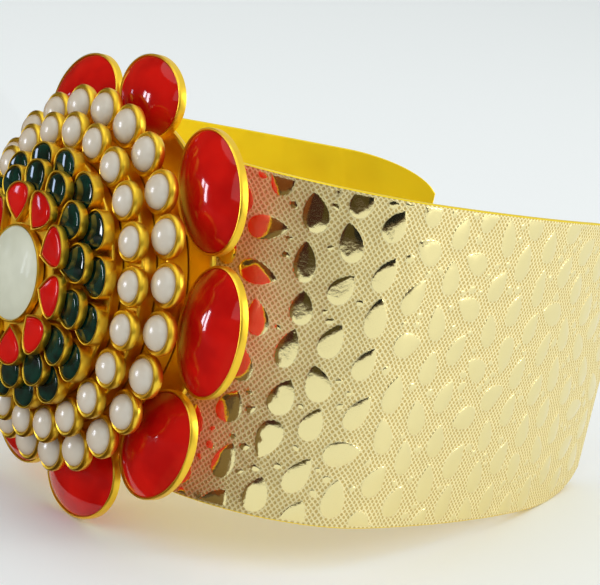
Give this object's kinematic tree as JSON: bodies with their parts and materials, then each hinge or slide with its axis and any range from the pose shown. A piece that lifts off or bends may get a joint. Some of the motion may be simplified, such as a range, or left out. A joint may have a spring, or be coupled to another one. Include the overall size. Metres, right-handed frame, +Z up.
{
  "type": "pachi cuff bracelet",
  "caption": "Wide open cuff bracelet of embossed gold-coloured sheet with a tiered flower of red petal stones, pearls, green stones, small red stones and a pale domed centre.",
  "frame": {"origin": "under the middle of the bracelet's bounding box, on the surface that it rests on", "axes": "+Z up, within about 8 degrees of the wrist's axis; -Y the way the flower faces; +Y towards the band's open ends; +X across the band"},
  "size_m": [0.057, 0.0792, 0.0518],
  "materials": {
    "band_gold": "polished and embossed, pale gold plating",
    "flower_gold": "polished, yellow gold plating",
    "red_glass": "glossy, backed",
    "green_glass": "glossy, backed",
    "pearl": "pearly coating",
    "pale_stone": "smooth, milky"
  },
  "bodies": {
    "root": {"band": "band_gold", "flower_plate": "flower_gold", "outer_pearl_tier": "flower_gold", "inner_pearl_tier": "flower_gold", "outer_green_tier": "flower_gold", "inner_green_tier": "flower_gold", "red_tier": "flower_gold", "centre_collet": "flower_gold", "centre_stone": "pale_stone", "outer_pearls": "pearl", "inner_pearls": "pearl", "outer_green_stones": "green_glass", "inner_green_stones": "green_glass", "petal_stone_1": "red_glass", "petal_stone_2": "red_glass", "petal_stone_3": "red_glass", "petal_stone_4": "red_glass", "petal_stone_5": "red_glass", "petal_stone_6": "red_glass", "petal_stone_7": "red_glass", "petal_stone_8": "red_glass", "petal_stone_9": "red_glass", "red_stone_1": "red_glass", "red_stone_2": "red_glass", "red_stone_3": "red_glass", "red_stone_4": "red_glass", "red_stone_5": "red_glass", "red_stone_6": "red_glass", "red_stone_7": "red_glass", "red_stone_8": "red_glass", "red_stone_9": "red_glass", "red_stone_10": "red_glass"}
  },
  "joints": []
}
